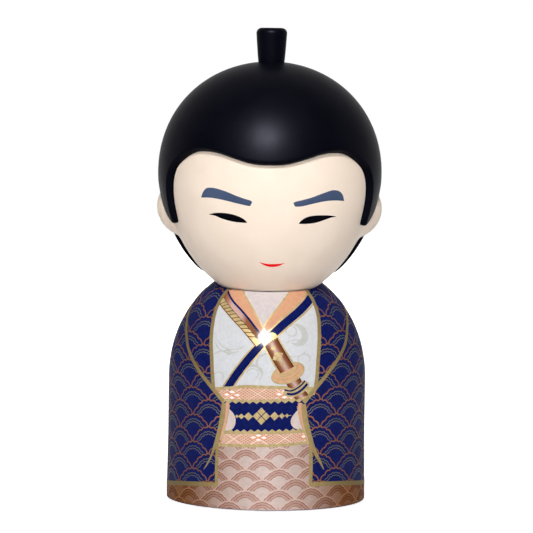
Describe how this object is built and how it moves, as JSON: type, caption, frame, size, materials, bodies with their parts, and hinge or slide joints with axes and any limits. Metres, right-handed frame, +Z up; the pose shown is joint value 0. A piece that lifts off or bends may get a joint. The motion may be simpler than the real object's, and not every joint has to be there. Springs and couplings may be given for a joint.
{
  "type": "samurai figurine",
  "caption": "Standing samurai doll with a rounded body, a large round head that turns on its neck, a black hair cap and a topknot.",
  "frame": {"origin": "centre of the body's round foot, on the surface that the figurine stands on", "axes": "+Z up, face and printed front towards -Y, the figurine's left hand towards +X; mirror plane X = 0"},
  "size_m": [0.071, 0.0716, 0.15],
  "materials": {
    "dress_navy": "printed navy under a clear gloss coat",
    "print_gold": "gold print under a clear gloss coat",
    "print_copper": "copper print under a clear gloss coat",
    "dress_white": "printed white under a clear gloss coat",
    "dress_peach": "printed peach under a clear gloss coat",
    "dress_rose": "printed rose under a clear gloss coat",
    "dress_brown": "printed brown under a clear gloss coat",
    "skin": "satin paint",
    "hair": "satin paint with a fine grain",
    "face_paint": "satin paint",
    "lip_paint": "satin paint",
    "felt": "pressed felt",
    "rubber": "moulded",
    "nylon": "moulded",
    "beech": "turned dowel",
    "steel": "zinc plated"
  },
  "bodies": {
    "body": {"body_casting": "dress_navy", "base_pad": "felt", "base_plug": "rubber", "neck_bush": "nylon", "friction_washer": "felt"},
    "head": {"head_casting": "skin", "hair_cap": "hair", "ear_left": "skin", "ear_right": "skin", "topknot": "hair", "topknot_peg": "beech", "neck_peg": "beech", "retaining_washer": "steel", "retaining_screw": "steel"}
  },
  "joints": [
    {"name": "head_turn", "type": "hinge", "parent": "body", "child": "head", "pos_m": [0, -0.0048, 0.065], "axis": [0, 0, 1], "continuous": true}
  ]
}
